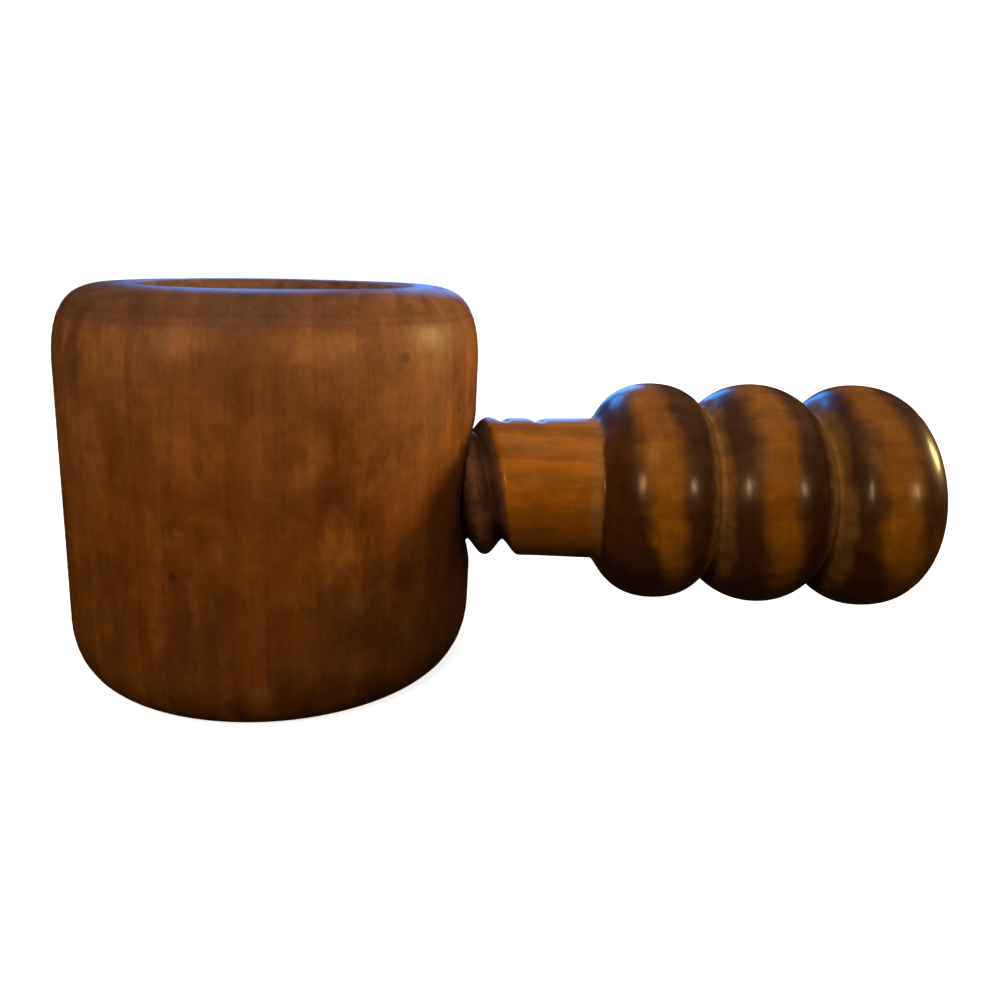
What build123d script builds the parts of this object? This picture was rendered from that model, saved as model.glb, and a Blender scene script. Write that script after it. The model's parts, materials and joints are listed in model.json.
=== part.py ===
from build123d import *
from math import atan, degrees, hypot
import os

# Turned wooden screw nutcracker, in millimetres.
# The cup stands on the XY plane with its axis on Z. A two-start wooden screw lies along +X,
# enters the chamber through a threaded hole in the cup's wall, and ends in a three-bead grip.

# ---- cup ----
CUP_HEIGHT = 67.8
CUP_RADIUS = 38.0  # where the straight wall meets the shoulder
CUP_LOW_RADIUS = 37.26  # where the straight wall meets the foot
FOOT_RADIUS = 32.7  # edge of the flat that the cup stands on
FOOT_HEIGHT = 9.1
FOOT_FULLNESS = 0.55  # 0.55 is a quarter ellipse, and more is squarer
SHOULDER_HEIGHT = 13.5
SHOULDER_FULLNESS = 0.71
RIM_RADIUS = 28.4
LIP_ROUNDING = 3.0
CHAMBER_RADIUS = 22.9
CHAMBER_FLOOR = 13.0
FLOOR_ROUNDING = 4.0

# ---- screw thread ----
AXIS_HEIGHT = 30.5
STARTS = 2
LEAD = 13.0  # travel in one turn
MAJOR_RADIUS = 13.0
GROOVE_DEPTH = 2.9
GROOVE_MOUTH = 5.0
GROOVE_ROOT = 0.6
THREAD_START_X = -12.0
FULL_DEPTH_X = 44.0  # the last groove starts to run out here, straight below the axis
RUN_OUT_TURNS = 0.5

# ---- threaded hole ----
RADIAL_CLEARANCE = 0.35
FLANK_CLEARANCE = 0.25
COUNTERSINK_X = 30.6
MOUTH_X = 33.6
MOUTH_FLARE_X = 35.0
MOUTH_RADIUS = 13.7
MOUTH_FLARE_RADIUS = 14.8

# ---- nose, neck and beads ----
NOSE_TIP_X = -17.8
NOSE_RADIUS = 9.6
NOSE_ROUNDING = 1.8
NECK_SWELL_X = 50.0
NECK_END_X = 66.0
NECK_END_RADIUS = 13.3
NECK_COVE = 1.6
BEADS = (
    # centre x, left half-length, right half-length, radius, fullness
    (70.7, 12.1, 12.1, 20.1, 0.69),
    (89.6, 14.1, 14.1, 20.3, 0.61),
    (108.4, 10.5, 12.2, 20.5, 0.70),
)
BEAD_GROOVE_ROUNDING = 0.7

screw_axis = Axis((0, 0, AXIS_HEIGHT), (1, 0, 0))
screw_plane = Plane(origin=(0, 0, AXIS_HEIGHT), x_dir=(1, 0, 0), z_dir=(0, -1, 0))

spacing = LEAD / STARTS  # from one groove to the next along the screw
minor_radius = MAJOR_RADIUS - GROOVE_DEPTH
flank_slope = (GROOVE_MOUTH - GROOVE_ROOT) / 2 / GROOVE_DEPTH  # half-width gained per mm of radius
shoulder_base = CUP_HEIGHT - SHOULDER_HEIGHT


def helical_sweep(x, turns, low, high, half_width_low, half_width_high, cone_angle=0.0):
    """A trapezoid between two radii, swept on a right-hand helix from straight above the axis at x."""
    with BuildSketch(screw_plane) as section:
        with BuildLine():
            Polyline(
                (x - half_width_low, low),
                (x + half_width_low, low),
                (x + half_width_high, high),
                (x - half_width_high, high),
                close=True,
            )
        make_face()
    path = Edge.make_helix(LEAD, LEAD * turns, MAJOR_RADIUS, (x, 0, AXIS_HEIGHT), (1, 0, 0), cone_angle)
    return sweep(section.sketch, path=path, is_frenet=True)


def screw_groove(x_end):
    """Cutters for one groove of the screw: whole turns at full depth, then a shallowing run-out."""
    overshoot = 0.7
    section = (
        minor_radius,
        MAJOR_RADIUS + overshoot,
        GROOVE_ROOT / 2,
        GROOVE_MOUTH / 2 + overshoot * flank_slope,
    )
    whole_turns = 5
    rise = degrees(atan(GROOVE_DEPTH / (LEAD * RUN_OUT_TURNS)))
    full_depth = helical_sweep(x_end - LEAD * whole_turns, whole_turns, *section)
    run_out = helical_sweep(x_end, RUN_OUT_TURNS, *section, cone_angle=rise)
    # half a turn brings the end of the full depth from above the axis to below it
    return [cutter.rotate(screw_axis, 180) for cutter in (full_depth, run_out)]


def hole_groove(x_begin):
    """Cutter for one groove of the hole, which clears a ridge of the screw all round."""
    turns = 2.5
    low = minor_radius + 0.2
    high = MAJOR_RADIUS + RADIAL_CLEARANCE
    crest = (spacing - GROOVE_MOUTH) / 2 + FLANK_CLEARANCE * hypot(1, flank_slope)
    half_width_low = crest + (MAJOR_RADIUS - low) * flank_slope
    half_width_high = crest - RADIAL_CLEARANCE * flank_slope
    return helical_sweep(x_begin, turns, low, high, half_width_low, half_width_high)


# the screw's ridges lie midway between its grooves
first_ridge_x = FULL_DEPTH_X - 5.5 * spacing
screw_grooves = [cutter for start in range(STARTS) for cutter in screw_groove(FULL_DEPTH_X - spacing * start)]
hole_grooves = [hole_groove(first_ridge_x + spacing * start) for start in range(STARTS)]

# ---- cup: body turned on a lathe, then a threaded hole through the +X wall ----
with BuildPart() as cup:
    with BuildSketch(Plane.XZ):
        with BuildLine():
            foot = Bezier(
                (FOOT_RADIUS, 0),
                (FOOT_RADIUS + (CUP_LOW_RADIUS - FOOT_RADIUS) * FOOT_FULLNESS, 0),
                (CUP_LOW_RADIUS, FOOT_HEIGHT * (1 - FOOT_FULLNESS)),
                (CUP_LOW_RADIUS, FOOT_HEIGHT),
            )
            wall = Line(foot @ 1, (CUP_RADIUS, shoulder_base))
            shoulder = Bezier(
                wall @ 1,
                (CUP_RADIUS, shoulder_base + SHOULDER_HEIGHT * SHOULDER_FULLNESS),
                (RIM_RADIUS + (CUP_RADIUS - RIM_RADIUS) * SHOULDER_FULLNESS, CUP_HEIGHT),
                (RIM_RADIUS, CUP_HEIGHT),
            )
            chamber = FilletPolyline(
                shoulder @ 1,
                (CHAMBER_RADIUS, CUP_HEIGHT),
                (CHAMBER_RADIUS, CHAMBER_FLOOR),
                (0, CHAMBER_FLOOR),
                radius=(LIP_ROUNDING, FLOOR_ROUNDING),
            )
            Polyline(chamber @ 1, (0, 0), foot @ 0)
        make_face()
    revolve(axis=Axis.Z)
    with BuildSketch(screw_plane):
        with BuildLine():
            Polyline(
                (0, 0),
                (0, minor_radius + RADIAL_CLEARANCE),
                (COUNTERSINK_X, minor_radius + RADIAL_CLEARANCE),
                (MOUTH_X, MOUTH_RADIUS),
                (MOUTH_FLARE_X, MOUTH_RADIUS),
                (CUP_RADIUS, MOUTH_FLARE_RADIUS),
                (CUP_RADIUS, 0),
                close=True,
            )
        make_face()
    revolve(axis=screw_axis, mode=Mode.SUBTRACT)
    add(hole_grooves, mode=Mode.SUBTRACT)

# ---- screw: thread, plain neck and three beads, all one turning ----
with BuildPart() as screw:
    with BuildSketch(screw_plane) as screw_profile:
        with BuildLine():
            Polyline(
                (THREAD_START_X, 0),
                (THREAD_START_X, minor_radius),
                (THREAD_START_X + GROOVE_DEPTH, MAJOR_RADIUS),
                (NECK_SWELL_X, MAJOR_RADIUS),
                (NECK_END_X, NECK_END_RADIUS),
                (NECK_END_X, 0),
                close=True,
            )
        make_face()
        for centre, left, right, radius, fullness in BEADS:
            with BuildLine():
                rising = Bezier(
                    (centre - left, 0),
                    (centre - left, radius * fullness),
                    (centre - left * fullness, radius),
                    (centre, radius),
                )
                falling = Bezier(
                    rising @ 1,
                    (centre + right * fullness, radius),
                    (centre + right, radius * fullness),
                    (centre + right, 0),
                )
                Line(falling @ 1, rising @ 0)
            make_face()
        neck_corner, *bead_corners = screw_profile.vertices().filter_by(
            lambda corner: NECK_SWELL_X < corner.X < BEADS[-1][0] and corner.Y > minor_radius
        ).sort_by(Axis.X)
        fillet(neck_corner, NECK_COVE)
        fillet(bead_corners, BEAD_GROOVE_ROUNDING)
    revolve(axis=screw_axis)
    add(screw_grooves, mode=Mode.SUBTRACT)

# ---- nose: the plain end of the screw, which presses on the nut ----
with BuildPart() as screw_nose:
    with BuildSketch(screw_plane):
        with BuildLine():
            Polyline(
                (NOSE_TIP_X, 0),
                (NOSE_TIP_X, NOSE_RADIUS),
                (THREAD_START_X, NOSE_RADIUS),
                (THREAD_START_X, 0),
                close=True,
            )
        make_face()
    revolve(axis=screw_axis)
    tip_edge = screw_nose.edges().filter_by(GeomType.CIRCLE).sort_by(Axis.X)[0]
    fillet(tip_edge, NOSE_ROUNDING)

os.makedirs("parts", exist_ok=True)
for name, piece in (("cup", cup), ("screw", screw), ("screw_nose", screw_nose)):
    piece.part.label = name
    export_step(piece.part, f"parts/{name}.step")
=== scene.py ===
import json
from math import cos, hypot, pi, radians, sin

import bpy
import numpy as np
from mathutils import Matrix, Vector, noise


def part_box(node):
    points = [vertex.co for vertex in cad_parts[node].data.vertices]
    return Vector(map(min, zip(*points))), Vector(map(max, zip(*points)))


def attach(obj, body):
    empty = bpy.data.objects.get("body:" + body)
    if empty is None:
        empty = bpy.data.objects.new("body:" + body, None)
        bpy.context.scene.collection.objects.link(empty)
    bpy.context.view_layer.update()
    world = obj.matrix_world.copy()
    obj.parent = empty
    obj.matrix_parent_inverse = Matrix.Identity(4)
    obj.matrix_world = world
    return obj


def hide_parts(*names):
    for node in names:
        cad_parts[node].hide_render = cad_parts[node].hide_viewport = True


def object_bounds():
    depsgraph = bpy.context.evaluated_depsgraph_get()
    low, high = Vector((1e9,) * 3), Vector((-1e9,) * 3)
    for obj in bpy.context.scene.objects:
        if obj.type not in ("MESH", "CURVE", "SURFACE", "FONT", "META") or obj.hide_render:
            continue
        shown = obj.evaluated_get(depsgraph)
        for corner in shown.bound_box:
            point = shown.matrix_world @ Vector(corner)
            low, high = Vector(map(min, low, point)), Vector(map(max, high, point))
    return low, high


# A turned wooden screw nutcracker: a round cup, and a two-start wooden screw with a beaded grip.
# Lengths are in metres. Those that the frame doesn't give are written in millimetres, times MM.

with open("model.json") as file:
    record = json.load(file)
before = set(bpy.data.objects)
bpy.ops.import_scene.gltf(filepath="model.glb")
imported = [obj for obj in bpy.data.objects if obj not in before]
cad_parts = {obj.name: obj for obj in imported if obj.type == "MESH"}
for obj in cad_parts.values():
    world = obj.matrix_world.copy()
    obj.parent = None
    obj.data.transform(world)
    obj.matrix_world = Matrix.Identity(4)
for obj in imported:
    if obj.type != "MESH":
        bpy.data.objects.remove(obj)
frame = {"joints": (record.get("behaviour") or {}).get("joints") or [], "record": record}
cad_low, cad_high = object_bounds()

MM = 0.001

# ---- places and sizes read from the frame ----
cup_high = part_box("cup")[1]
screw_low, screw_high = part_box("screw")
nose_low, nose_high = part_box("screw_nose")
turn_joint = next(joint for joint in frame["joints"] if joint["type"] == "hinge")
coupling = frame["record"]["behaviour"]["couplings"][0]

CUP_HEIGHT = cup_high.z
CUP_RADIUS = cup_high.y
AXIS_HEIGHT = turn_joint["pos_m"][2]
LEAD = coupling["ratio"] * 2 * pi
GRIP_RADIUS = screw_high.y
THREAD_START_X = screw_low.x
NOSE_TIP_X = nose_low.x
NOSE_RADIUS = nose_high.y

# ---- cup profile ----
CUP_LOW_RADIUS = 37.26 * MM
FOOT_RADIUS = 32.7 * MM
FOOT_HEIGHT = 9.1 * MM
FOOT_FULLNESS = 0.55  # 0.55 is a quarter ellipse, and more is squarer
SHOULDER_HEIGHT = 13.5 * MM
SHOULDER_FULLNESS = 0.71
RIM_RADIUS = 28.4 * MM
LIP_ROUNDING = 3.0 * MM
CHAMBER_RADIUS = 22.9 * MM
CHAMBER_FLOOR = 13.0 * MM
FLOOR_ROUNDING = 4.0 * MM

# ---- thread ----
STARTS = 2
MAJOR_RADIUS = 13.0 * MM
GROOVE_DEPTH = 2.9 * MM
GROOVE_MOUTH = 5.0 * MM
GROOVE_ROOT = 0.6 * MM
FULL_DEPTH_X = 44.0 * MM  # a groove starts to run out here, straight below the axis
RUN_OUT_TURNS = 0.62  # the run-out's slope would bring it to the surface after this many turns
RUN_OUT_FADE = (0.54, 0.47)  # it is smoothed away from the second number of turns to the first
RUN_OUT_LAG = 1.1 * MM  # how far a run-out falls behind the helix in its first half turn
CREST_ROUNDING = 0.9 * MM
RUN_OUT_ROUNDING = 0.9 * MM  # added to the crest's rounding along a run-out
ROUNDING_TURNS = 0.4  # turns of run-out in which that rounding is reached
ROOT_ROUNDING = 0.6 * MM
RADIAL_CLEARANCE = 0.35 * MM
FLANK_CLEARANCE = 0.25 * MM
BELOW_AXIS = 1.5 * pi  # angle of straight down, seen along the screw's axis

# ---- threaded hole: distance along the screw, plain radius ----
HOLE_BORE = MAJOR_RADIUS - GROOVE_DEPTH + RADIAL_CLEARANCE
HOLE_PROFILE = (
    (10.0 * MM, HOLE_BORE),  # well inside the chamber
    (30.6 * MM, HOLE_BORE),
    (33.6 * MM, 13.7 * MM),
    (35.0 * MM, 13.7 * MM),
    (38.0 * MM, 14.8 * MM),
    (40.0 * MM, 15.6 * MM),  # outside the cup
)

# ---- nose, neck and beads ----
NOSE_ROUNDING = 1.8 * MM
NECK_SWELL_X = 50.0 * MM
NECK_END_X = 66.0 * MM
NECK_END_RADIUS = 13.3 * MM
NECK_BLEND = 2.4 * MM
BEAD_BLEND = 1.1 * MM
BEADS = (
    # centre, left half-length, right half-length, radius, fullness
    (70.7 * MM, 12.1 * MM, 12.1 * MM, 20.1 * MM, 0.69),
    (89.6 * MM, 14.1 * MM, 14.1 * MM, 20.3 * MM, 0.61),
    (108.4 * MM, 10.5 * MM, 12.2 * MM, 20.5 * MM, 0.70),
)

# ---- wear, dirt, and painted light and shade on the screw ----
GOLD_SHIFTS = (-2.2 * MM, -2.0 * MM, -1.0 * MM)  # from each bead's widest line to its lighter band, which is partly polish and partly painted light
PAINTED_LIGHT_LEAN = 3.9 * MM  # painted light: how far the band leans towards the grip's end, low down in front
GOLD_HALF_WIDTH = 5.9 * MM
DUSTY_VALLEYS = (
    # deepest line, how far it is dusty before and after the line, and how far the painted light towards
    # the line reaches
    (60.1 * MM, 1.6 * MM, -0.2 * MM, 5.0 * MM),
    (79.8 * MM, 2.2 * MM, 1.3 * MM, 2.0 * MM),
    (99.9 * MM, 2.8 * MM, 1.4 * MM, 2.0 * MM),
)

# ---- marks on the cup: knots, knocks, patches of tone, and patches of painted highlight and painted shade ----
CUP_MARKS = (
    # x, y, z, size, how bright the middle is
    (-0.5 * MM, -35.5 * MM, 4.2 * MM, 3.4 * MM, 0.50),
    (25.6 * MM, -27.8 * MM, 58.0 * MM, 1.3 * MM, 0.50),
    (34.2 * MM, -16.0 * MM, 48.0 * MM, 1.4 * MM, 0.50),
    (-8.5 * MM, -36.4 * MM, 25.2 * MM, 1.0 * MM, 0.55),
    (-31.0 * MM, 20.5 * MM, 33.0 * MM, 2.4 * MM, 0.50),
    (12.0 * MM, 35.5 * MM, 52.0 * MM, 1.8 * MM, 0.50),
    # painted highlight: a lighter patch high on the front, where the lamps' sheen lies
    (-5.8 * MM, -36.0 * MM, 61.5 * MM, 6.0 * MM, 1.45),
    (-3.0 * MM, -37.8 * MM, 49.0 * MM, 15 * MM, 1.30),
    # painted shade: darker patches low on the right of the front, below the screw
    (17.0 * MM, -33.5 * MM, 36.0 * MM, 15 * MM, 0.76),
    (20.0 * MM, -32.0 * MM, 20.0 * MM, 13 * MM, 0.82),
    # painted shade: a darker patch on the left side, high up
    (-30.0 * MM, -22.0 * MM, 57.0 * MM, 14 * MM, 0.74),
    (-12.0 * MM, -34.0 * MM, 5.0 * MM, 12 * MM, 1.35),
    # painted highlights: lighter patches high on the front and on the right, where the lamps' sheen lies
    (11.0 * MM, -35.5 * MM, 57.0 * MM, 10 * MM, 1.28),
    (35.0 * MM, -16.0 * MM, 57.0 * MM, 9 * MM, 1.12),
)

# ---- turned lines on the cup's shoulder: depth below the top, and how bright ----
SHOULDER_LINES = ((3.5 * MM, 0.89), (4.8 * MM, 0.84))

# ---- relief: how deep each kind of mark is, and how far apart the lathe's lines are ----
CUP_WAVES = 0.07 * MM
CUP_TOOL_LINES = 0.02 * MM
CUP_TOOL_PITCH = 1.9 * MM
CUP_DENTS = 0.17 * MM
RING_LINE = 0.06 * MM
RING_LINE_WIDTH = 0.6 * MM
RING_LINE_BELOW_TOP = 3.9 * MM
SCREW_WAVES = 0.06 * MM
SCREW_TOOL_LINES = 0.006 * MM
SCREW_TOOL_PITCH = 1.7 * MM
SCREW_DENTS = 0.14 * MM
CREST_CHIPS = 0.30 * MM

# ---- how fine the meshes are ----
CUP_SEGMENTS = 288
CUP_ROW = 0.8 * MM
SCREW_SEGMENTS = 192
THREAD_ROW = 0.25 * MM
GRIP_ROW = 0.5 * MM
CUP_SHARP_ANGLE = 38
SCREW_SHARP_ANGLE = 60

# ---- colours ----
WARM_LIGHT = (1.0, 0.74, 0.42)
WINDOW_BLUE = (0.06, 0.34, 1.0)

spacing = LEAD / STARTS
minor_radius = MAJOR_RADIUS - GROOVE_DEPTH
flank_slope = (GROOVE_MOUTH - GROOVE_ROOT) / 2 / GROOVE_DEPTH


# ---------------------------------------------------------------- curves and numbers
def smoothstep(low, high, value):
    t = np.clip((value - low) / (high - low), 0, 1)
    return t * t * (3 - 2 * t)


def soft_max(a, b, blend):
    """The larger of two heights, with the corner between them filled over a width of about blend."""
    near = np.clip(1 - np.abs(a - b) / blend, 0, 1)
    return np.maximum(a, b) + near * near * blend / 4


def soft_min(a, b, blend):
    return -soft_max(-a, -b, blend)


def wander(points, scale, shift=0.0):
    """A smooth random value from -1 to 1 at each point, with lumps about 1 / scale across."""
    offset = Vector((shift, 2 * shift, 3 * shift))
    return np.array([noise.noise(Vector(point) * scale + offset) for point in points])


def bezier(a, b, c, d, steps=160):
    t = np.linspace(0, 1, steps)[:, None]
    a, b, c, d = (np.array(point, float) for point in (a, b, c, d))
    return (1 - t) ** 3 * a + 3 * (1 - t) ** 2 * t * b + 3 * (1 - t) * t**2 * c + t**3 * d


def arc(centre, radius, start, end, steps=40):
    """Points of a circular arc, from one angle to another in degrees."""
    angles = np.radians(np.linspace(start, end, steps))
    return np.column_stack((centre[0] + radius * np.cos(angles), centre[1] + radius * np.sin(angles)))


def even_rows(outline, row):
    """The outline again, with its points about one row apart. A row is a length, or a function that
    gives one for each point."""
    outline = outline[np.r_[True, np.hypot(*np.diff(outline, axis=0).T) > 1e-9]]
    steps = np.hypot(*np.diff(outline, axis=0).T)
    widths = np.broadcast_to(row(outline) if callable(row) else row, len(outline))
    travel = np.r_[0, np.cumsum(steps / ((widths[1:] + widths[:-1]) / 2))]
    places = np.linspace(0, travel[-1], int(travel[-1]) + 1)
    return np.column_stack([np.interp(places, travel, outline[:, axis]) for axis in (0, 1)])


# ---------------------------------------------------------------- meshes
def on_cup_axis(along, radius, angle):
    return np.stack((radius * np.cos(angle), radius * np.sin(angle), along), axis=-1)


def on_screw_axis(along, radius, angle):
    return np.stack((along, radius * np.cos(angle), AXIS_HEIGHT + radius * np.sin(angle)), axis=-1)


def turned_mesh(name, along, radius, place):
    """A closed turning from arrays of rows by segments, whose first and last rows shrink to a point."""
    rows, segments = radius.shape
    angle = np.broadcast_to(np.arange(segments) * 2 * pi / segments, radius.shape)
    points = place(along, radius, angle)[1:-1].reshape(-1, 3)
    ends = place(along[[0, -1], 0], np.zeros(2), np.zeros(2))
    vertices = np.vstack((points, ends))
    ring = np.arange(segments)
    after = (ring + 1) % segments
    faces = []
    for row in range(rows - 3):
        low, high = row * segments, (row + 1) * segments
        faces += np.column_stack((low + ring, low + after, high + after, high + ring)).tolist()
    first, last = len(points), len(points) + 1
    top = (rows - 3) * segments
    faces += np.column_stack((np.full(segments, first), after, ring)).tolist()
    faces += np.column_stack((np.full(segments, last), top + ring, top + after)).tolist()
    mesh = bpy.data.meshes.new(name)
    mesh.from_pydata(vertices.tolist(), [], faces)
    mesh.update()
    piece = bpy.data.objects.new(name, mesh)
    bpy.context.scene.collection.objects.link(piece)
    return piece


def points_of(piece):
    points = np.empty(len(piece.data.vertices) * 3)
    piece.data.vertices.foreach_get("co", points)
    return points.reshape(-1, 3)


def store(piece, name, values):
    """Keeps one number for each vertex, which the material reads as an attribute."""
    attribute = piece.data.attributes.new(name, "FLOAT", "POINT")
    attribute.data.foreach_set("value", np.asarray(values, np.float32))


def smooth(piece, sharp_angle):
    """Smooth shading, except at edges that turn by more than the angle in degrees."""
    piece.data.shade_smooth()
    piece.data.set_sharp_from_angle(angle=radians(sharp_angle))


# ---------------------------------------------------------------- thread
def groove_offset(along, angle):
    """Distance from the nearest groove's centre, its depth left, from 0 to 1, and its lips' rounding."""
    around = (angle - BELOW_AXIS) / (2 * pi)
    turns = (along - FULL_DEPTH_X) / LEAD - around
    nearest = np.round(turns * STARTS)
    # odd grooves belong to the second start, which reaches full depth's end one spacing earlier
    own_turns = np.where(nearest % STARTS == 0, nearest / STARTS, (nearest + 1) / STARTS)
    past_end = own_turns + around
    lag = RUN_OUT_LAG * np.clip(past_end / 0.5, 0, 1)
    distance = np.abs((turns * STARTS - nearest) * spacing + lag)
    depth = np.clip(1 - past_end / RUN_OUT_TURNS, 0, 1) * smoothstep(*RUN_OUT_FADE, past_end)
    rounding = CREST_ROUNDING + RUN_OUT_ROUNDING * np.clip(past_end / ROUNDING_TURNS, 0, 1)
    return distance, depth, rounding


def threaded(along, angle, plain_radius):
    """The screw's radius once its grooves are cut into the plain turned radius."""
    distance, depth, rounding = groove_offset(along, angle)
    floor = MAJOR_RADIUS - GROOVE_DEPTH * depth
    rise = soft_max((distance - GROOVE_ROOT / 2) / flank_slope, np.zeros_like(distance), ROOT_ROUNDING)
    cut = soft_min(plain_radius, floor + rise, rounding)
    return plain_radius + (cut - plain_radius) * smoothstep(0, 0.08, depth)


def hole_radius(along, angle):
    """The threaded hole's radius, whose grooves clear the screw's ridges."""
    turns = (along - FULL_DEPTH_X) / LEAD - (angle - BELOW_AXIS) / (2 * pi)
    ridge = np.abs((turns * STARTS) % 1 - 0.5) * spacing
    crest = (spacing - GROOVE_MOUTH) / 2 + FLANK_CLEARANCE * hypot(1, flank_slope)
    top = MAJOR_RADIUS + RADIAL_CLEARANCE
    groove = np.minimum(top, top - (ridge - crest + RADIAL_CLEARANCE * flank_slope) / flank_slope)
    plain = np.interp(along, *zip(*HOLE_PROFILE))
    return np.maximum(plain, groove)


# ---------------------------------------------------------------- cup
def cup_outline():
    """Radius and height from the middle of the base, round the outside, to the chamber's floor."""
    shoulder_base = CUP_HEIGHT - SHOULDER_HEIGHT
    foot = bezier(
        (FOOT_RADIUS, 0),
        (FOOT_RADIUS + (CUP_LOW_RADIUS - FOOT_RADIUS) * FOOT_FULLNESS, 0),
        (CUP_LOW_RADIUS, FOOT_HEIGHT * (1 - FOOT_FULLNESS)),
        (CUP_LOW_RADIUS, FOOT_HEIGHT),
    )
    shoulder = bezier(
        (CUP_RADIUS, shoulder_base),
        (CUP_RADIUS, shoulder_base + SHOULDER_HEIGHT * SHOULDER_FULLNESS),
        (RIM_RADIUS + (CUP_RADIUS - RIM_RADIUS) * SHOULDER_FULLNESS, CUP_HEIGHT),
        (RIM_RADIUS, CUP_HEIGHT),
    )
    lip = arc((CHAMBER_RADIUS + LIP_ROUNDING, CUP_HEIGHT - LIP_ROUNDING), LIP_ROUNDING, 90, 180)
    corner_centre = (CHAMBER_RADIUS - FLOOR_ROUNDING, CHAMBER_FLOOR + FLOOR_ROUNDING)
    corner = arc(corner_centre, FLOOR_ROUNDING, 0, -90)
    return np.vstack(((0, 0), foot, shoulder, lip, corner, (0, CHAMBER_FLOOR)))


def cup_depths(points, outside):
    """How far each point of the cup is pressed in, by the lathe and by knocks."""
    z = points[:, 2]
    waves = CUP_WAVES * (1 + wander(points, 45, 3.0))
    uneven = 2 * wander(points, 30, 9.0)
    tool_lines = CUP_TOOL_LINES * (1 + np.sin(z * 2 * pi / CUP_TOOL_PITCH + uneven))
    from_line = (z - (CUP_HEIGHT - RING_LINE_BELOW_TOP)) / RING_LINE_WIDTH
    ring_line = RING_LINE * np.exp(-(from_line**2)) * outside
    dents = CUP_DENTS * smoothstep(0.50, 0.75, wander(points, 190, 17.0)) * outside
    return waves + tool_lines + ring_line + dents


def cut_hole(cup):
    """Cuts the threaded hole through the cup's +X wall, and leaves no modifier behind."""
    along = np.arange(HOLE_PROFILE[0][0], HOLE_PROFILE[-1][0], THREAD_ROW)
    along = np.r_[along[0], along, along[-1]]
    angle = np.arange(SCREW_SEGMENTS) * 2 * pi / SCREW_SEGMENTS
    along, angle = np.meshgrid(along, angle, indexing="ij")
    hole = turned_mesh("hole", along, hole_radius(along, angle), on_screw_axis)
    cut = cup.modifiers.new("hole", "BOOLEAN")
    cut.operation = "DIFFERENCE"
    cut.solver = "MANIFOLD"
    cut.object = hole
    cut_mesh = bpy.data.meshes.new_from_object(cup.evaluated_get(bpy.context.evaluated_depsgraph_get()))
    cut_mesh.materials.clear()
    cup.modifiers.clear()
    cup.data = cut_mesh
    bpy.data.objects.remove(hole)


def mark_cup(cup):
    """Stores where the cup is bare inside, where dirt and painted shade lie round the hole, and where it
    is worn on the rim.
    """
    points = points_of(cup)
    x, y, z = points.T
    from_axis = np.hypot(x, y)
    from_screw = np.hypot(y, z - AXIS_HEIGHT)
    mouth_radius = HOLE_PROFILE[-1][1]
    inside = smoothstep(RIM_RADIUS - 2 * MM, CHAMBER_RADIUS + 0.6 * MM, from_axis) * (z > 1 * MM)
    in_hole = (x > 0) * (1 - smoothstep(mouth_radius, mouth_radius + 0.2 * MM, from_screw))
    in_hole *= smoothstep(36.6 * MM, 36.0 * MM, from_axis)
    store(cup, "inside", np.maximum(inside * (from_axis < RIM_RADIUS), in_hole))
    # dirt from the screw and painted shade: a weak, wide dark halo of both, and a strong dark ring close
    # to the hole, which is painted shade in the hole's mouth
    from_hole = from_screw + 1.5 * MM * wander(points, 220, 5.0)
    hole_dirt_and_shade = 0.7 * smoothstep(20 * MM, 14 * MM, from_hole) * (x > 0)
    hole_dirt_and_shade = np.maximum(hole_dirt_and_shade, smoothstep(16.4 * MM, 15.2 * MM, from_hole) * (x > 0))
    store(cup, "hole_dirt_and_shade", hole_dirt_and_shade * (from_axis > CHAMBER_RADIUS + 2 * MM))
    worn = smoothstep(RIM_RADIUS + 5 * MM, RIM_RADIUS - 1 * MM, from_axis)
    store(cup, "worn", worn * smoothstep(CUP_HEIGHT - 5 * MM, CUP_HEIGHT, z))


def make_cup():
    outline = even_rows(cup_outline(), CUP_ROW)
    rows, segments = len(outline), CUP_SEGMENTS
    angle = np.broadcast_to(np.arange(segments) * 2 * pi / segments, (rows, segments))
    along = np.repeat(outline[:, 1:], segments, axis=1)
    radius = np.repeat(outline[:, :1], segments, axis=1)

    slope = np.gradient(outline, axis=0)
    slope /= np.linalg.norm(slope, axis=1)[:, None]
    inward_r, inward_z = -slope[:, 1:], slope[:, :1]
    points = on_cup_axis(along, radius, angle).reshape(-1, 3)
    outside = np.repeat((outline[:, 0] > RIM_RADIUS - 2 * MM).astype(float), segments)
    depths = cup_depths(points, outside).reshape(rows, segments)
    depths *= smoothstep(0, 2 * MM, along)  # the flat that it stands on stays flat
    radius = radius + inward_r * depths
    along = along + inward_z * depths
    cup = turned_mesh("cup_body", along, np.clip(radius, 0, None), on_cup_axis)
    cut_hole(cup)
    smooth(cup, CUP_SHARP_ANGLE)
    mark_cup(cup)
    return cup


# ---------------------------------------------------------------- screw
def bead_height(along, centre, left, right, radius, fullness):
    """Radius of one bead at each distance along the screw, and less than zero outside the bead."""
    rising = bezier(
        (centre - left, 0),
        (centre - left, radius * fullness),
        (centre - left * fullness, radius),
        (centre, radius),
    )
    falling = bezier(
        (centre, radius),
        (centre + right * fullness, radius),
        (centre + right, radius * fullness),
        (centre + right, 0),
    )
    outline = np.vstack((rising, falling[1:]))
    return np.interp(along, outline[:, 0], outline[:, 1], left=-radius, right=-radius)


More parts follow.
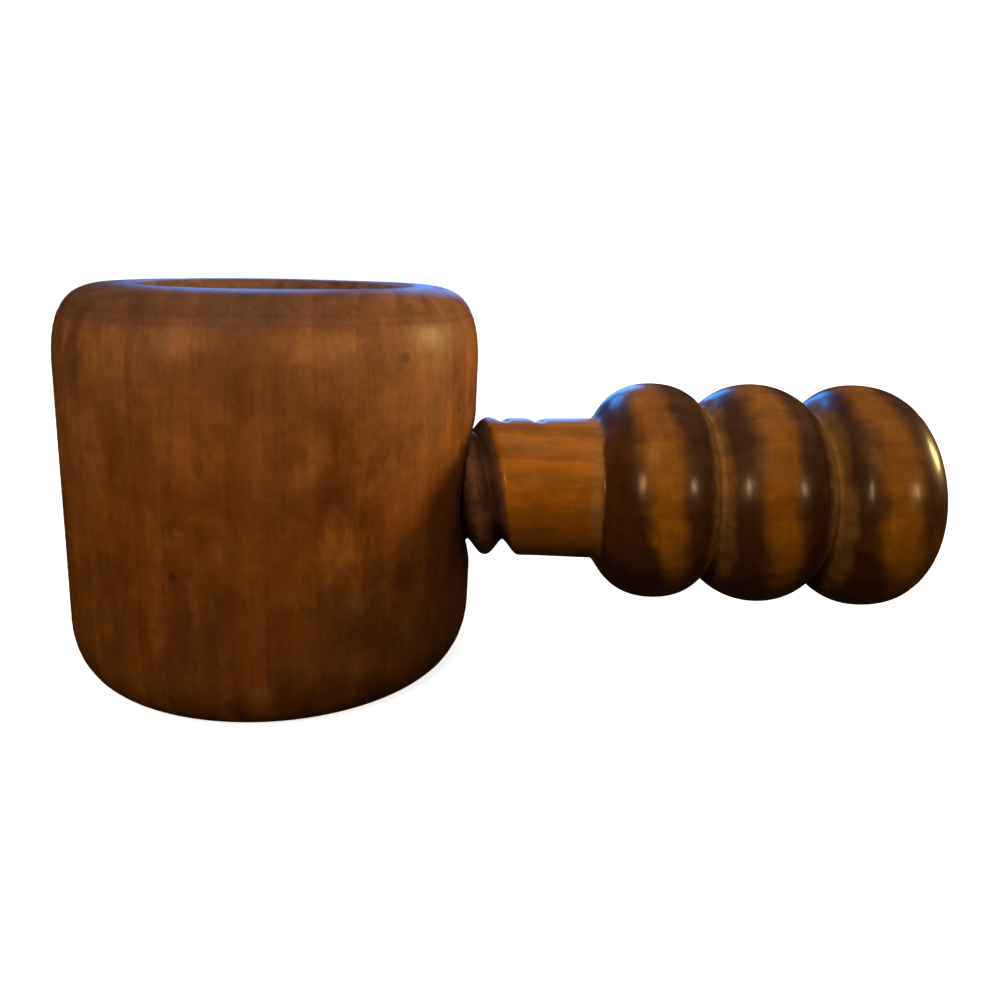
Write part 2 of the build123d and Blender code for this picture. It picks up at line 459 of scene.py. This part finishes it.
def screw_outline():
    """Distance along the screw and plain radius, from the tip of the nose to the end of the grip."""
    nose = arc((NOSE_TIP_X + NOSE_ROUNDING, NOSE_RADIUS - NOSE_ROUNDING), NOSE_ROUNDING, 180, 90)
    lead_in = ((THREAD_START_X, NOSE_RADIUS), (THREAD_START_X, minor_radius))
    start = ((THREAD_START_X + GROOVE_DEPTH, MAJOR_RADIUS), (NECK_SWELL_X - 6 * MM, MAJOR_RADIUS))
    centre, _, right, bead_radius, fullness = BEADS[-1]
    along = np.arange(NECK_SWELL_X - 5 * MM, centre, 0.05 * MM)
    plain = np.interp(along, (NECK_SWELL_X, NECK_END_X), (MAJOR_RADIUS, NECK_END_RADIUS))
    height = soft_max(plain, bead_height(along, *BEADS[0]), NECK_BLEND)
    for bead in BEADS[1:]:
        height = soft_max(height, bead_height(along, *bead), BEAD_BLEND)
    height = np.minimum(height, GRIP_RADIUS)
    end = bezier(
        (centre, bead_radius),
        (centre + right * fullness, bead_radius),
        (centre + right, bead_radius * fullness),
        (centre + right, 0),
    )
    return np.vstack(((NOSE_TIP_X, 0), nose, lead_in, start, np.column_stack((along, height)), end))


def screw_row(outline):
    """Rows are close together along the thread, and wider apart elsewhere."""
    x = outline[:, 0]
    in_thread = (x > THREAD_START_X - 0.5 * MM) & (x < NECK_SWELL_X + 2 * MM)
    return np.where(in_thread, THREAD_ROW, GRIP_ROW)


def screw_depths(points, radius):
    """How far each point of the screw is pressed in, by the lathe, by knocks and by wear of the crests."""
    x = points[:, 0]
    on_grip = smoothstep(NECK_SWELL_X, NECK_END_X, x)
    waves = SCREW_WAVES * (1 + wander(points, 70, 1.0))
    uneven = 2 * wander(points, 60, 2.0)
    tool_lines = SCREW_TOOL_LINES * (1 + np.sin(x * 2 * pi / SCREW_TOOL_PITCH + uneven))
    dents = SCREW_DENTS * smoothstep(0.5, 0.75, wander(points, 230, 23.0)) * on_grip
    chips = CREST_CHIPS * smoothstep(0.25, 0.7, wander(points, 420, 31.0))
    chips *= smoothstep(FULL_DEPTH_X, FULL_DEPTH_X - 4 * MM, x)
    chips *= smoothstep(minor_radius + 1.8 * MM, MAJOR_RADIUS, radius)
    return waves + tool_lines + dents + chips


def mark_screw(screw):
    """Stores where the screw is polished, dusty and scraped, and where light and shade are painted on it.
    """
    points = points_of(screw)
    x, y, z = points.T
    from_axis = np.hypot(y, z - AXIS_HEIGHT)
    angle = np.arctan2(z - AXIS_HEIGHT, y)
    drift = 1.1 * MM * wander(points, 75, 7.0) + 0.5 * MM * wander(points, 260, 8.0)

    # the neck's golden colour where hands have polished it, and on the beads a lighter band a little off
    # their widest line, which is partly polish and partly painted light
    polish_and_painted_light = 1.3 * smoothstep(BEADS[0][0] - 10.2 * MM, BEADS[0][0] - 11.6 * MM, x)
    # painted light: the band leans towards the grip's end low down in front
    from_low_front = (angle + 1.72 * pi) % (2 * pi) - pi
    painted_light_low_front = np.exp(-((from_low_front / 0.75) ** 2))
    # painted shade: the band fades away on the beads' undersides
    painted_shade_underneath = 1 - 0.76 * smoothstep(-0.20, -0.95, np.sin(angle) + 0.15 * wander(points, 90, 6.0))
    for bead, shift in zip(BEADS, GOLD_SHIFTS):
        band = x - bead[0] - shift - PAINTED_LIGHT_LEAN * painted_light_low_front + 1.6 * drift
        band = np.where(band > 0, 1.08 * band, -band * (1 + 0.25 * painted_light_low_front))
        polish_and_painted_light = np.maximum(polish_and_painted_light, painted_shade_underneath * smoothstep(GOLD_HALF_WIDTH, 0.3 * MM, band))
    store(screw, "polish_and_painted_light", polish_and_painted_light)

    # dust and old wax in the valleys between the beads, wider low down, and painted light that grows
    # towards each valley's deepest line, against the shade there
    dust = np.zeros(len(points))
    painted_valley_light = np.zeros(len(points))
    wider = 0.9 * MM * smoothstep(0.2, -0.5, np.sin(angle))
    for valley, before, after, reach in DUSTY_VALLEYS:
        place = x - valley + drift * 0.8
        after = after + np.where(after > 0, wider, 0)
        band = smoothstep(-before - 1.4 * MM, -before + 1.0 * MM, place)
        band *= smoothstep(after + 1.3 * MM, after - 0.9 * MM, place)
        dust = np.maximum(dust, band)
        painted_valley_light = np.maximum(painted_valley_light, smoothstep(reach, 0.2 * reach, np.abs(x - valley + 0.8 * MM)))
    store(screw, "dust", dust)
    store(screw, "painted_valley_light", painted_valley_light)

    # painted shade: darker towards the bottoms of the grooves beside the grip
    depth = smoothstep(MAJOR_RADIUS - 0.5 * MM, MAJOR_RADIUS - 2.6 * MM, from_axis)
    beside_grip = smoothstep(NECK_SWELL_X + 3 * MM, NECK_SWELL_X + 1 * MM, x)
    store(screw, "groove_painted_shade", depth * beside_grip)
    # the neck's golden wood starts beside the last groove, which runs out behind it
    past_top = (angle - pi / 2) % (2 * pi)
    run_out = smoothstep(pi, 2 * pi, past_top)
    edge = FULL_DEPTH_X + (past_top - pi) * LEAD / (2 * pi) - LEAD * run_out + GROOVE_MOUTH / 2
    store(screw, "thread", smoothstep(0.25 * MM, -0.25 * MM, x - edge + 0.35 * MM))


def make_screw():
    outline = even_rows(screw_outline(), screw_row)
    rows, segments = len(outline), SCREW_SEGMENTS
    angle = np.broadcast_to(np.arange(segments) * 2 * pi / segments, (rows, segments))
    along = np.repeat(outline[:, :1], segments, axis=1)
    plain = np.repeat(outline[:, 1:], segments, axis=1)
    cut = threaded(along, angle, plain)
    is_thread = (along > THREAD_START_X + 0.1 * MM) & (along < NECK_SWELL_X + 4 * MM)
    radius = np.where(is_thread, cut, plain)

    points = on_screw_axis(along, radius, angle).reshape(-1, 3)
    depths = screw_depths(points, radius.ravel()).reshape(rows, segments)
    slope = np.gradient(outline, axis=0)
    slope /= np.linalg.norm(slope, axis=1)[:, None]
    radius = radius - slope[:, :1] * depths
    along = along + slope[:, 1:] * depths
    screw = turned_mesh("screw_turning", along, np.clip(radius, 0, None), on_screw_axis)
    smooth(screw, SCREW_SHARP_ANGLE)
    mark_screw(screw)
    return screw


# ---------------------------------------------------------------- materials
class Nodes:
    """Adds nodes to one node tree. Each method but add returns an output socket."""

    def __init__(self, tree):
        self.tree = tree
        tree.nodes.clear()

    def add(self, kind, inputs=(), **settings):
        node = self.tree.nodes.new(kind)
        for name, value in settings.items():
            setattr(node, name, value)
        for name, value in dict(inputs).items():
            if isinstance(value, bpy.types.NodeSocket):
                self.tree.links.new(value, node.inputs[name])
            else:
                node.inputs[name].default_value = value
        return node

    def math(self, operation, a, b=0.0):
        return self.add("ShaderNodeMath", {0: a, 1: b}, operation=operation).outputs[0]

    def one_minus(self, value):
        return self.math("SUBTRACT", 1.0, value)

    def centred(self, field, scale):
        """The field with its middle moved from 0.5 to 0, and scaled."""
        return self.math("MULTIPLY", self.math("SUBTRACT", field, 0.5), scale)

    def ramp(self, value, low, high, to_low=0.0, to_high=1.0):
        """A smooth step from one number to another as value goes from low to high."""
        inputs = {"Value": value, "From Min": low, "From Max": high, "To Min": to_low, "To Max": to_high}
        return self.add("ShaderNodeMapRange", inputs, interpolation_type="SMOOTHSTEP").outputs[0]

    def mix(self, factor, a, b, blend="MIX"):
        inputs = {0: factor, 6: a, 7: b}
        return self.add("ShaderNodeMix", inputs, data_type="RGBA", blend_type=blend).outputs[2]

    def attribute(self, name):
        return self.add("ShaderNodeAttribute", attribute_name=name).outputs["Fac"]

    def noise(self, vector, scale, detail=3.0, roughness=0.5, distortion=0.0):
        inputs = {
            "Vector": vector,
            "Scale": scale,
            "Detail": detail,
            "Roughness": roughness,
            "Distortion": distortion,
        }
        return self.add("ShaderNodeTexNoise", inputs).outputs["Fac"]

    def stretched(self, vector, scale, rotation=(0, 0, 0), location=(0, 0, 0)):
        inputs = {"Vector": vector, "Scale": scale, "Rotation": rotation, "Location": location}
        return self.add("ShaderNodeMapping", inputs).outputs[0]


def grain_fields(n, grain_along_x):
    """The piece's own coordinates turned so that the grain is along Z, and the wood's fields in them."""
    coordinates = n.add("ShaderNodeTexCoord").outputs["Object"]
    if grain_along_x:
        coordinates = n.stretched(coordinates, (1, 1, 1), rotation=(0, -pi / 2, 0))
    rings_at = n.stretched(coordinates, (1, 1, 0.10), location=(0.021, 0.034, 0))
    rings = n.add(
        "ShaderNodeTexWave",
        {
            "Vector": rings_at,
            "Scale": 55.0,
            "Distortion": 5.0,
            "Detail": 3.0,
            "Detail Scale": 1.1,
            "Detail Roughness": 0.55,
        },
        wave_type="RINGS",
        rings_direction="Z",
        wave_profile="SAW",
    ).outputs["Fac"]
    fibres = n.noise(n.stretched(coordinates, (1, 1, 0.08)), 1500, 5, 0.62, 0.15)
    streaks = n.noise(n.stretched(coordinates, (1, 1, 0.12)), 330, 4, 0.6, 0.5)
    pores = n.noise(n.stretched(coordinates, (1, 1, 0.13)), 2300, 2, 0.5)
    blotches = n.noise(n.stretched(coordinates, (1, 1, 0.55)), 62, 4, 0.55, 0.6)
    mottle = n.noise(n.stretched(coordinates, (1, 1, 0.6)), 190, 3, 0.6, 0.4)
    turning = n.noise(n.stretched(coordinates, (0.10, 0.10, 1)), 620, 3, 0.6, 0.4)
    return coordinates, rings, fibres, streaks, n.ramp(pores, 0.62, 0.70), blotches, mottle, turning


def tone(n, colour, field, low, high, at_low, at_high):
    """The colour scaled by a grey that goes from one value to another as field goes from low to high."""
    grey = n.ramp(field, low, high, at_low, at_high)
    scaled = n.add("ShaderNodeCombineColor", {0: grey, 1: grey, 2: grey}).outputs[0]
    return n.mix(1.0, colour, scaled, "MULTIPLY")


def finish_wood(n, colour, roughness, coat, coat_roughness, specular, fibres, pores, bump_distance):
    """Varnished wood, with raised fibres and open pores."""
    relief = n.math("SUBTRACT", n.math("MULTIPLY", fibres, 0.5), n.math("MULTIPLY", pores, 0.6))
    bump = n.add("ShaderNodeBump", {"Strength": 0.6, "Distance": bump_distance, "Height": relief})
    shader = n.add(
        "ShaderNodeBsdfPrincipled",
        {
            "Base Color": colour,
            "Roughness": roughness,
            "Coat Weight": coat,
            "Normal": bump.outputs[0],
            "IOR": 1.5,
            "Specular IOR Level": specular,
            "Coat Roughness": coat_roughness,
            "Coat IOR": 1.5,
        },
    )
    n.add("ShaderNodeOutputMaterial", {"Surface": shader.outputs[0]})


def new_material(name):
    material = bpy.data.materials.new(name)
    material.use_nodes = True
    return material, Nodes(material.node_tree)


def cup_wood():
    material, n = new_material("stained_cup_wood")
    coordinates, rings, fibres, streaks, pores, blotches, mottle, turning = grain_fields(n, False)
    inside, hole_dirt_and_shade, worn = (n.attribute(name) for name in ("inside", "hole_dirt_and_shade", "worn"))
    colour = n.mix(n.ramp(blotches, 0.30, 0.70), (0.200, 0.056, 0.0060, 1), (0.330, 0.108, 0.0140, 1))
    hues = n.noise(n.stretched(coordinates, (1, 1, 0.5), location=(3, 1, 2)), 85, 3, 0.55, 0.5)
    colour = n.mix(n.ramp(hues, 0.42, 0.70, 0, 0.6), colour, (0.305, 0.090, 0.0170, 1))
    colour = n.mix(n.ramp(mottle, 0.48, 0.78, 0, 0.55), colour, (0.46, 0.190, 0.0330, 1))
    along_screw, _, height = n.add("ShaderNodeSeparateXYZ", {0: coordinates}).outputs
    # painted sheen: the colour turns paler and greyer towards the top of the cup, where the varnish's
    # broad sheen lies
    painted_top_sheen = n.math("ADD", height, n.centred(blotches, 60 * MM))
    painted_top_sheen = n.ramp(painted_top_sheen, 0.50 * CUP_HEIGHT, 0.90 * CUP_HEIGHT, 0.0, 0.36)
    colour = n.mix(painted_top_sheen, colour, (0.340, 0.170, 0.088, 1))
    # painted shade: a darker band on the shoulder below the rim, weaker on the screw's side
    shoulder = n.math("ADD", height, n.centred(mottle, 2 * MM))
    shoulder = n.ramp(shoulder, CUP_HEIGHT - 8 * MM, CUP_HEIGHT - 3 * MM)
    shoulder = n.math("MULTIPLY", shoulder, n.ramp(along_screw, 8 * MM, 32 * MM, 0.80, 0.42))
    colour = n.mix(shoulder, colour, (0.120, 0.049, 0.023, 1))
    top = n.ramp(height, CUP_HEIGHT - 2.2 * MM, CUP_HEIGHT - 0.2 * MM)
    end_rings = n.centred(rings, top)
    fine = n.noise(coordinates, 950, 2, 0.7)
    patches = n.noise(coordinates, 130, 4, 0.6, 0.4)
    for field, low, high, at_low, at_high in (
        (end_rings, -0.5, 0.5, 0.84, 1.14),
        (rings, 0.0, 1.0, 0.92, 1.05),
        (streaks, 0.30, 0.70, 0.89, 1.09),
        (fibres, 0.32, 0.68, 0.93, 1.05),
        (fine, 0.3, 0.7, 0.93, 1.06),
        (pores, 0.0, 1.0, 1.0, 0.89),
        (patches, 0.34, 0.66, 0.83, 1.14),
        (turning, 0.30, 0.70, 0.95, 1.03),
        # painted shade: darker towards the base
        (height, -0.1 * CUP_HEIGHT, 0.9 * CUP_HEIGHT, 0.62, 1.10),
    ):
        colour = tone(n, colour, field, low, high, at_low, at_high)
    for depth, brightness in SHOULDER_LINES:
        apart = n.math("ABSOLUTE", n.math("SUBTRACT", height, CUP_HEIGHT - depth))
        uneven = n.math("ADD", apart, n.math("MULTIPLY", mottle, 0.5 * MM))
        colour = tone(n, colour, uneven, 0.2 * MM, 0.75 * MM, brightness, 1.0)
    # knots, knocks, patches of tone, and patches of painted highlight and painted shade
    for x, y, z, size, brightness in CUP_MARKS:
        places = {0: coordinates, 1: (x, y, z)}
        apart = n.add("ShaderNodeVectorMath", places, operation="DISTANCE").outputs["Value"]
        ragged = n.math("ADD", apart, n.centred(mottle, 1.8 * size))
        colour = tone(n, colour, ragged, 0.0, size, brightness, 1.0)
    colour = n.mix(n.math("MULTIPLY", worn, 0.4), colour, (0.16, 0.075, 0.045, 1))
    bare = tone(n, (0.165, 0.078, 0.050, 1), streaks, 0.3, 0.7, 0.60, 1.35)
    colour = n.mix(inside, colour, bare)
    # dirt and painted shade round the hole
    colour = n.mix(n.math("MULTIPLY", hole_dirt_and_shade, 0.9), colour, (0.035, 0.014, 0.007, 1))
    dull = n.math("MAXIMUM", inside, hole_dirt_and_shade)
    roughness = n.math("ADD", n.ramp(mottle, 0.3, 0.7, 0.45, 0.58), n.math("MULTIPLY", dull, 0.3))
    coat = n.ramp(blotches, 0.25, 0.7, 0.25, 0.50)
    coat = n.math("ADD", coat, n.ramp(height, 0.5 * CUP_HEIGHT, 0.9 * CUP_HEIGHT, 0.0, 0.12))
    coat = n.math("MAXIMUM", coat, worn)
    coat = n.math("MULTIPLY", coat, n.one_minus(dull))
    finish_wood(n, colour, roughness, coat, 0.37, 0.5, fibres, pores, 0.08 * MM)
    return material


def screw_wood():
    material, n = new_material("stained_screw_wood")
    coordinates, rings, fibres, streaks, pores, blotches, mottle, turning = grain_fields(n, True)
    names = ("polish_and_painted_light", "dust", "painted_valley_light", "groove_painted_shade", "thread")
    polish_and_painted_light, dust, painted_valley_light, groove_painted_shade, thread = (n.attribute(name) for name in names)
    dark = n.mix(n.ramp(blotches, 0.3, 0.7), (0.048, 0.014, 0.005, 1), (0.092, 0.031, 0.009, 1))
    bright = n.mix(n.ramp(blotches, 0.3, 0.7), (0.265, 0.088, 0.0035, 1), (0.380, 0.148, 0.0070, 1))
    # the beads' lighter band: partly polish, partly painted light, with painted shade underneath
    ragged = n.math("ADD", polish_and_painted_light, n.centred(mottle, 0.55))
    colour = n.mix(n.ramp(ragged, 0.05, 1.0), dark, bright)
    neck = n.ramp(polish_and_painted_light, 0.95, 1.25)
    colour = n.mix(n.math("MULTIPLY", neck, 0.85), colour, (0.450, 0.150, 0.0050, 1))
    scraped = tone(n, (0.195, 0.084, 0.048, 1), mottle, 0.30, 0.70, 0.55, 1.40)
    colour = n.mix(thread, colour, scraped)
    neck_streaks = n.centred(streaks, neck)
    worn_unevenly = n.noise(coordinates, 260, 4, 0.6, 0.3)
    bead_turning = n.centred(turning, n.one_minus(neck))
    smears = n.noise(n.stretched(coordinates, (0.45, 0.45, 1.3)), 330, 4, 0.65, 0.8)
    smears = n.centred(smears, n.one_minus(neck))
    for field, low, high, at_low, at_high in (
        (rings, 0.0, 1.0, 0.92, 1.05),
        (streaks, 0.30, 0.70, 0.94, 1.05),
        (neck_streaks, -0.2, 0.2, 0.86, 1.14),
        (fibres, 0.32, 0.68, 0.94, 1.04),
        (worn_unevenly, 0.35, 0.65, 0.88, 1.10),
        (pores, 0.0, 1.0, 1.0, 0.90),
        (bead_turning, -0.2, 0.2, 0.95, 1.05),
        (smears, -0.18, 0.18, 0.89, 1.10),
    ):
        colour = tone(n, colour, field, low, high, at_low, at_high)
    # painted shade in the bottoms of the grooves
    colour = n.mix(n.math("MULTIPLY", groove_painted_shade, 0.60), colour, (0.030, 0.014, 0.012, 1))
    dust_edge = n.math("ADD", dust, n.centred(mottle, 0.9))
    dusty = n.ramp(dust_edge, 0.15, 0.90, 0.0, 0.82)
    packed = tone(n, (0.245, 0.120, 0.032, 1), streaks, 0.3, 0.7, 0.7, 1.25)
    # painted light: the dust is lighter towards each valley's deepest line
    colour = n.mix(dusty, colour, tone(n, packed, painted_valley_light, 0.0, 1.0, 0.82, 1.45))
    roughness = n.math("ADD", n.ramp(mottle, 0.3, 0.7, 0.34, 0.46), n.math("MULTIPLY", dusty, 0.35))
    matt = n.math("MAXIMUM", dusty, n.math("MULTIPLY", thread, 0.9))
    coat = n.math("MULTIPLY", n.ramp(blotches, 0.25, 0.7, 0.7, 1.0), n.one_minus(matt))
    finish_wood(n, colour, roughness, coat, 0.22, 0.3, fibres, pores, 0.06 * MM)
    return material


# ---------------------------------------------------------------- stage
def direction(azimuth, elevation):
    """Unit vector towards a light. Azimuth 0 is in front of the object, on -Y, and 90 is on +X."""
    a, e = radians(azimuth), radians(elevation)
    return Vector((sin(a) * cos(e), -cos(a) * cos(e), sin(e)))


def add_light(name, target, azimuth, elevation, distance, size, power, colour, gloss):
    """A rectangular lamp that faces its target, and is seen in reflections only if gloss is true."""
    light = bpy.data.lights.new(name, "AREA")
    light.shape = "RECTANGLE"
    light.size, light.size_y = size
    light.energy = power
    light.color = colour
    lamp = bpy.data.objects.new(name, light)
    way = direction(azimuth, elevation)
    lamp.location = target + way * distance
    lamp.rotation_mode = "QUATERNION"
    lamp.rotation_quaternion = way.to_track_quat("Z", "Y")
    lamp.visible_camera = False
    lamp.visible_glossy = gloss
    bpy.context.scene.collection.objects.link(lamp)


def add_sun():
    """A weak, soft light from straight above, which lies evenly on the whole floor."""
    light = bpy.data.lights.new("ceiling", "SUN")
    light.energy = 0.6
    light.angle = radians(50)
    lamp = bpy.data.objects.new("ceiling", light)
    lamp.visible_glossy = False
    bpy.context.scene.collection.objects.link(lamp)


def add_camera():
    """Just above the object and close in front of it, looking a little down, on a 30 mm lens.
    The place, the angles and the shifts are a fit of the whole outline."""
    location = Vector((30.12, -153.46, 73.17)) * MM
    yaw, pitch, roll = radians(-1.012), radians(10.427), radians(1.066)
    forward = Vector((sin(yaw) * cos(pitch), cos(yaw) * cos(pitch), -sin(pitch)))
    level = Vector((cos(yaw), -sin(yaw), 0))
    upright = level.cross(forward)
    right = cos(roll) * level + sin(roll) * upright
    up = -sin(roll) * level + cos(roll) * upright
    lens = bpy.data.cameras.new("camera")
    lens.sensor_width = 36
    lens.lens = 30.0
    lens.shift_x = 0.0797
    lens.shift_y = -0.091
    lens.clip_start = 0.01
    lens.clip_end = 50
    camera = bpy.data.objects.new("camera", lens)
    camera.matrix_world = Matrix((right, up, -forward)).transposed().to_4x4()
    camera.location = location
    bpy.context.scene.collection.objects.link(camera)
    bpy.context.scene.camera = camera


def add_floor():
    """A wide, plain floor that glows a little, and neither tints the object nor shows in its varnish."""
    mesh = bpy.data.meshes.new("floor")
    segments, radius = 96, 3.0
    ring = [(radius * cos(a), radius * sin(a), 0) for a in np.arange(segments) * 2 * pi / segments]
    mesh.from_pydata(ring, [], [list(range(segments))])
    floor = bpy.data.objects.new("floor", mesh)
    bpy.context.scene.collection.objects.link(floor)
    material, n = new_material("pale_floor")
    shader = n.add(
        "ShaderNodeBsdfPrincipled",
        {
            "Base Color": (0.8, 0.8, 0.8, 1),
            "Roughness": 1.0,
            "Specular IOR Level": 0.0,
            "Emission Color": (1, 1, 1, 1),
            "Emission Strength": 0.85,
        },
    )
    n.add("ShaderNodeOutputMaterial", {"Surface": shader.outputs[0]})
    mesh.materials.append(material)
    floor.visible_glossy = False
    floor.visible_diffuse = False


def add_world():
    """A plain white surround for the camera, and a dim room with a brighter ceiling for the light."""
    world = bpy.data.worlds.new("room")
    bpy.context.scene.world = world
    world.use_nodes = True
    n = Nodes(world.node_tree)
    way = n.add("ShaderNodeTexCoord").outputs["Generated"]
    height = n.add("ShaderNodeSeparateXYZ", {0: way}).outputs[2]
    room = n.mix(n.ramp(height, 0.0, 0.9), (0.012, 0.007, 0.003, 1), (0.130, 0.100, 0.078, 1))
    light = n.add("ShaderNodeBackground", {"Color": room, "Strength": 1.0}).outputs[0]
    white = n.add("ShaderNodeBackground", {"Color": (1, 1, 1, 1), "Strength": 1.0}).outputs[0]
    seen = n.add("ShaderNodeLightPath").outputs["Is Camera Ray"]
    both = n.add("ShaderNodeMixShader", {0: seen, 1: light, 2: white}).outputs[0]
    n.add("ShaderNodeOutputWorld", {"Surface": both})


# ---------------------------------------------------------------- the object
cup = make_cup()
cup.data.materials.append(cup_wood())
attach(cup, "cup")
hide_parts("cup")

screw = make_screw()
screw.data.materials.append(screw_wood())
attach(screw, "screw")
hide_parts("screw", "screw_nose")

# ---------------------------------------------------------------- floor, light and camera
add_floor()
add_world()
add_camera()
bpy.context.scene.view_settings.view_transform = "Standard"

cup_top = Vector((0, 0, CUP_HEIGHT))
middle = Vector(((cad_low.x + cad_high.x) / 2, 0, AXIS_HEIGHT))
grip = Vector(((BEADS[0][0] + BEADS[-1][0]) / 2, 0, AXIS_HEIGHT))
for light in (
    # name, target, azimuth, elevation, distance, size, power, colour, seen in reflections
    ("key", cup_top, -14, 44, 0.50, (0.22, 0.16), 1.05, WARM_LIGHT, False),
    ("left_fill", middle, -58, 18, 0.9, (0.4, 0.3), 0.12, WARM_LIGHT, False),
    ("side", cup_top, 99, 10, 1.2, (0.09, 0.09), 8.2, (1.0, 0.74, 0.38), False),
    ("back_fill", middle, 170, 28, 0.9, (0.5, 0.4), 1.8, (1.0, 0.78, 0.52), False),
    ("left_lamp", grip, -46, 15, 1.0, (0.11, 0.19), 1.0, (1.0, 0.70, 0.34), True),
    ("right_lamp", grip, 41, 15, 1.0, (0.08, 0.14), 0.68, (1.0, 0.70, 0.36), True),
    ("end_lamp", grip, 104, 14, 1.0, (0.13, 0.19), 2.7, (1.0, 0.68, 0.24), True),
    ("window", middle, 176, 11, 1.0, (0.24, 0.42), 1.3, WINDOW_BLUE, True),
    ("left_window", grip, -161, 22, 1.0, (0.24, 0.26), 0.85, WINDOW_BLUE, True),
):
    add_light(*light)
add_sun()
